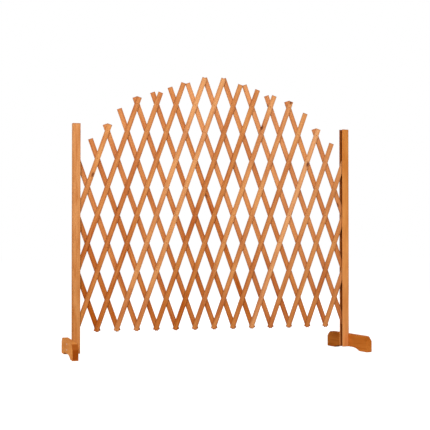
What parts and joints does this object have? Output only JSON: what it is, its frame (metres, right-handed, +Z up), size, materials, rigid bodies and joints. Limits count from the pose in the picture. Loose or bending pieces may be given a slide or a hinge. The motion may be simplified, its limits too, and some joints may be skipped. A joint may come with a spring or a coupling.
{
  "type": "expanding trellis panel",
  "caption": "Free-standing expanding trellis: arched scissor lattice of stained wood laths between two grooved posts on bracket feet.",
  "frame": {"origin": "on the ground, in the middle of the rectangle that the trellis covers", "axes": "+Z up, +X along the panel, -Y towards the front, where the laths that lean right are the nearer layer"},
  "size_m": [1.343, 0.3188, 1.2186],
  "materials": {
    "post_wood": "orange-brown stain, satin",
    "foot_wood": "orange-brown stain, satin",
    "front_lath_wood": "orange-brown stain, sawn and lightly sanded",
    "back_lath_wood": "orange-brown stain, sawn and lightly sanded",
    "nail_steel": "dull, stained over with the wood",
    "screw_zinc": "bright zinc"
  },
  "bodies": {
    "left_stand": {"left_post": "post_wood", "left_foot": "foot_wood", "left_foot_screws": "screw_zinc", "left_pivot_pin": "nail_steel"},
    "right_stand": {"right_post": "post_wood", "right_foot": "foot_wood", "right_foot_screws": "screw_zinc", "right_pivot_pin": "nail_steel"},
    "front_lath_01": {"front_lath_01": "front_lath_wood", "lattice_nails_01": "nail_steel"},
    "front_lath_02": {"front_lath_02": "front_lath_wood", "lattice_nails_02": "nail_steel"},
    "front_lath_03": {"front_lath_03": "front_lath_wood", "lattice_nails_03": "nail_steel"},
    "front_lath_04": {"front_lath_04": "front_lath_wood", "lattice_nails_04": "nail_steel"},
    "front_lath_05": {"front_lath_05": "front_lath_wood", "lattice_nails_05": "nail_steel"},
    "front_lath_06": {"front_lath_06": "front_lath_wood", "lattice_nails_06": "nail_steel"},
    "front_lath_07": {"front_lath_07": "front_lath_wood", "lattice_nails_07": "nail_steel"},
    "front_lath_08": {"front_lath_08": "front_lath_wood", "lattice_nails_08": "nail_steel"},
    "front_lath_09": {"front_lath_09": "front_lath_wood", "lattice_nails_09": "nail_steel"},
    "front_lath_10": {"front_lath_10": "front_lath_wood", "lattice_nails_10": "nail_steel"},
    "front_lath_11": {"front_lath_11": "front_lath_wood", "lattice_nails_11": "nail_steel"},
    "front_lath_12": {"front_lath_12": "front_lath_wood", "lattice_nails_12": "nail_steel"},
    "front_lath_13": {"front_lath_13": "front_lath_wood", "lattice_nails_13": "nail_steel"},
    "front_lath_14": {"front_lath_14": "front_lath_wood", "lattice_nails_14": "nail_steel"},
    "front_lath_15": {"front_lath_15": "front_lath_wood", "lattice_nails_15": "nail_steel"},
    "front_lath_16": {"front_lath_16": "front_lath_wood", "lattice_nails_16": "nail_steel"},
    "back_lath_01": {"back_lath_01": "back_lath_wood"},
    "back_lath_02": {"back_lath_02": "back_lath_wood"},
    "back_lath_03": {"back_lath_03": "back_lath_wood"},
    "back_lath_04": {"back_lath_04": "back_lath_wood"},
    "back_lath_05": {"back_lath_05": "back_lath_wood"},
    "back_lath_06": {"back_lath_06": "back_lath_wood"},
    "back_lath_07": {"back_lath_07": "back_lath_wood"},
    "back_lath_08": {"back_lath_08": "back_lath_wood"},
    "back_lath_09": {"back_lath_09": "back_lath_wood"},
    "back_lath_10": {"back_lath_10": "back_lath_wood"},
    "back_lath_11": {"back_lath_11": "back_lath_wood"},
    "back_lath_12": {"back_lath_12": "back_lath_wood"},
    "back_lath_13": {"back_lath_13": "back_lath_wood"},
    "back_lath_14": {"back_lath_14": "back_lath_wood"},
    "back_lath_15": {"back_lath_15": "back_lath_wood"},
    "back_lath_16": {"back_lath_16": "back_lath_wood"}
  },
  "joints": [
    {"name": "lattice_fold", "type": "hinge", "parent": "left_stand", "child": "front_lath_01", "pos_m": [-0.61681, -0.00171, 0.6069], "axis": [0, 1, 0], "range_deg": [-13.9, 8.5]},
    {"name": "back_lath_04_turn", "type": "hinge", "parent": "front_lath_01", "child": "back_lath_04", "pos_m": [-0.53069, -0.00171, 0.8501], "axis": [0, 1, 0], "range_deg": [-17, 27.8]},
    {"name": "front_lath_07_turn", "type": "hinge", "parent": "back_lath_04", "child": "front_lath_07", "pos_m": [-0.27232, -0.00171, 0.1205], "axis": [0, 1, 0], "range_deg": [-27.8, 17]},
    {"name": "back_lath_12_turn", "type": "hinge", "parent": "front_lath_07", "child": "back_lath_12", "pos_m": [0.07217, -0.00171, 1.09331], "axis": [0, 1, 0], "range_deg": [-17, 27.8]},
    {"name": "front_lath_15_turn", "type": "hinge", "parent": "back_lath_12", "child": "front_lath_15", "pos_m": [0.41665, -0.00171, 0.1205], "axis": [0, 1, 0], "range_deg": [-27.8, 17]},
    {"name": "right_stand_turn", "type": "hinge", "parent": "front_lath_15", "child": "right_stand", "pos_m": [0.5889, -0.00171, 0.6069], "axis": [0, 1, 0], "range_deg": [-8.5, 13.9]},
    {"name": "front_lath_02_turn", "type": "hinge", "parent": "back_lath_04", "child": "front_lath_02", "pos_m": [-0.48763, -0.00171, 0.7285], "axis": [0, 1, 0], "range_deg": [-27.8, 17]},
    {"name": "back_lath_08_turn", "type": "hinge", "parent": "front_lath_07", "child": "back_lath_08", "pos_m": [-0.10008, -0.00171, 0.6069], "axis": [0, 1, 0], "range_deg": [-17, 27.8]},
    {"name": "front_lath_03_turn", "type": "hinge", "parent": "back_lath_04", "child": "front_lath_03", "pos_m": [-0.44457, -0.00171, 0.6069], "axis": [0, 1, 0], "range_deg": [-27.8, 17]},
    {"name": "back_lath_01_turn", "type": "hinge", "parent": "front_lath_03", "child": "back_lath_01", "pos_m": [-0.57375, -0.00171, 0.2421], "axis": [0, 1, 0], "range_deg": [-17, 27.8]},
    {"name": "back_lath_02_turn", "type": "hinge", "parent": "front_lath_03", "child": "back_lath_02", "pos_m": [-0.53069, -0.00171, 0.3637], "axis": [0, 1, 0], "range_deg": [-17, 27.8]},
    {"name": "back_lath_03_turn", "type": "hinge", "parent": "front_lath_03", "child": "back_lath_03", "pos_m": [-0.48763, -0.00171, 0.4853], "axis": [0, 1, 0], "range_deg": [-17, 27.8]},
    {"name": "front_lath_04_turn", "type": "hinge", "parent": "back_lath_04", "child": "front_lath_04", "pos_m": [-0.40151, -0.00171, 0.4853], "axis": [0, 1, 0], "range_deg": [-27.8, 17]},
    {"name": "back_lath_05_turn", "type": "hinge", "parent": "front_lath_04", "child": "back_lath_05", "pos_m": [-0.35845, -0.00171, 0.6069], "axis": [0, 1, 0], "range_deg": [-17, 27.8]},
    {"name": "front_lath_11_turn", "type": "hinge", "parent": "back_lath_12", "child": "front_lath_11", "pos_m": [0.24441, -0.00171, 0.6069], "axis": [0, 1, 0], "range_deg": [-27.8, 17]},
    {"name": "front_lath_12_turn", "type": "hinge", "parent": "back_lath_12", "child": "front_lath_12", "pos_m": [0.28747, -0.00171, 0.4853], "axis": [0, 1, 0], "range_deg": [-27.8, 17]},
    {"name": "back_lath_13_turn", "type": "hinge", "parent": "front_lath_12", "child": "back_lath_13", "pos_m": [0.33053, -0.00171, 0.6069], "axis": [0, 1, 0], "range_deg": [-17, 27.8]},
    {"name": "front_lath_13_turn", "type": "hinge", "parent": "back_lath_13", "child": "front_lath_13", "pos_m": [0.37359, -0.00171, 0.4853], "axis": [0, 1, 0], "range_deg": [-27.8, 17]},
    {"name": "back_lath_07_turn", "type": "hinge", "parent": "front_lath_07", "child": "back_lath_07", "pos_m": [-0.14314, -0.00171, 0.4853], "axis": [0, 1, 0], "range_deg": [-17, 27.8]},
    {"name": "front_lath_06_turn", "type": "hinge", "parent": "back_lath_07", "child": "front_lath_06", "pos_m": [-0.1862, -0.00171, 0.6069], "axis": [0, 1, 0], "range_deg": [-27.8, 17]},
    {"name": "back_lath_09_turn", "type": "hinge", "parent": "front_lath_07", "child": "back_lath_09", "pos_m": [-0.05702, -0.00171, 0.7285], "axis": [0, 1, 0], "range_deg": [-17, 27.8]},
    {"name": "front_lath_08_turn", "type": "hinge", "parent": "back_lath_09", "child": "front_lath_08", "pos_m": [-0.01396, -0.00171, 0.6069], "axis": [0, 1, 0], "range_deg": [-27.8, 17]},
    {"name": "back_lath_06_turn", "type": "hinge", "parent": "front_lath_06", "child": "back_lath_06", "pos_m": [-0.22926, -0.00171, 0.4853], "axis": [0, 1, 0], "range_deg": [-17, 27.8]},
    {"name": "front_lath_05_turn", "type": "hinge", "parent": "back_lath_06", "child": "front_lath_05", "pos_m": [-0.27232, -0.00171, 0.6069], "axis": [0, 1, 0], "range_deg": [-27.8, 17]},
    {"name": "back_lath_14_turn", "type": "hinge", "parent": "front_lath_12", "child": "back_lath_14", "pos_m": [0.37359, -0.00171, 0.7285], "axis": [0, 1, 0], "range_deg": [-17, 27.8]},
    {"name": "front_lath_16_turn", "type": "hinge", "parent": "back_lath_14", "child": "front_lath_16", "pos_m": [0.54584, -0.00171, 0.2421], "axis": [0, 1, 0], "range_deg": [-27.8, 17]},
    {"name": "back_lath_15_turn", "type": "hinge", "parent": "front_lath_13", "child": "back_lath_15", "pos_m": [0.45972, -0.00171, 0.7285], "axis": [0, 1, 0], "range_deg": [-17, 27.8]},
    {"name": "front_lath_09_turn", "type": "hinge", "parent": "back_lath_09", "child": "front_lath_09", "pos_m": [0.0291, -0.00171, 0.4853], "axis": [0, 1, 0], "range_deg": [-27.8, 17]},
    {"name": "back_lath_10_turn", "type": "hinge", "parent": "front_lath_09", "child": "back_lath_10", "pos_m": [0.07217, -0.00171, 0.6069], "axis": [0, 1, 0], "range_deg": [-17, 27.8]},
    {"name": "front_lath_10_turn", "type": "hinge", "parent": "back_lath_12", "child": "front_lath_10", "pos_m": [0.20135, -0.00171, 0.7285], "axis": [0, 1, 0], "range_deg": [-27.8, 17]},
    {"name": "back_lath_11_turn", "type": "hinge", "parent": "front_lath_10", "child": "back_lath_11", "pos_m": [0.15829, -0.00171, 0.6069], "axis": [0, 1, 0], "range_deg": [-17, 27.8]},
    {"name": "front_lath_14_turn", "type": "hinge", "parent": "back_lath_13", "child": "front_lath_14", "pos_m": [0.41665, -0.00171, 0.3637], "axis": [0, 1, 0], "range_deg": [-27.8, 17]},
    {"name": "back_lath_16_turn", "type": "hinge", "parent": "front_lath_13", "child": "back_lath_16", "pos_m": [0.50278, -0.00171, 0.8501], "axis": [0, 1, 0], "range_deg": [-17, 27.8]}
  ],
  "couplings": [
    {"joint": "back_lath_04_turn", "follows": "lattice_fold", "ratio": -2},
    {"joint": "front_lath_07_turn", "follows": "lattice_fold", "ratio": 2},
    {"joint": "back_lath_12_turn", "follows": "lattice_fold", "ratio": -2},
    {"joint": "front_lath_15_turn", "follows": "lattice_fold", "ratio": 2},
    {"joint": "right_stand_turn", "follows": "lattice_fold", "ratio": -1},
    {"joint": "front_lath_02_turn", "follows": "lattice_fold", "ratio": 2},
    {"joint": "back_lath_08_turn", "follows": "lattice_fold", "ratio": -2},
    {"joint": "front_lath_03_turn", "follows": "lattice_fold", "ratio": 2},
    {"joint": "back_lath_01_turn", "follows": "lattice_fold", "ratio": -2},
    {"joint": "back_lath_02_turn", "follows": "lattice_fold", "ratio": -2},
    {"joint": "back_lath_03_turn", "follows": "lattice_fold", "ratio": -2},
    {"joint": "front_lath_04_turn", "follows": "lattice_fold", "ratio": 2},
    {"joint": "back_lath_05_turn", "follows": "lattice_fold", "ratio": -2},
    {"joint": "front_lath_11_turn", "follows": "lattice_fold", "ratio": 2},
    {"joint": "front_lath_12_turn", "follows": "lattice_fold", "ratio": 2},
    {"joint": "back_lath_13_turn", "follows": "lattice_fold", "ratio": -2},
    {"joint": "front_lath_13_turn", "follows": "lattice_fold", "ratio": 2},
    {"joint": "back_lath_07_turn", "follows": "lattice_fold", "ratio": -2},
    {"joint": "front_lath_06_turn", "follows": "lattice_fold", "ratio": 2},
    {"joint": "back_lath_09_turn", "follows": "lattice_fold", "ratio": -2},
    {"joint": "front_lath_08_turn", "follows": "lattice_fold", "ratio": 2},
    {"joint": "back_lath_06_turn", "follows": "lattice_fold", "ratio": -2},
    {"joint": "front_lath_05_turn", "follows": "lattice_fold", "ratio": 2},
    {"joint": "back_lath_14_turn", "follows": "lattice_fold", "ratio": -2},
    {"joint": "front_lath_16_turn", "follows": "lattice_fold", "ratio": 2},
    {"joint": "back_lath_15_turn", "follows": "lattice_fold", "ratio": -2},
    {"joint": "front_lath_09_turn", "follows": "lattice_fold", "ratio": 2},
    {"joint": "back_lath_10_turn", "follows": "lattice_fold", "ratio": -2},
    {"joint": "front_lath_10_turn", "follows": "lattice_fold", "ratio": 2},
    {"joint": "back_lath_11_turn", "follows": "lattice_fold", "ratio": -2},
    {"joint": "front_lath_14_turn", "follows": "lattice_fold", "ratio": 2},
    {"joint": "back_lath_16_turn", "follows": "lattice_fold", "ratio": -2}
  ]
}
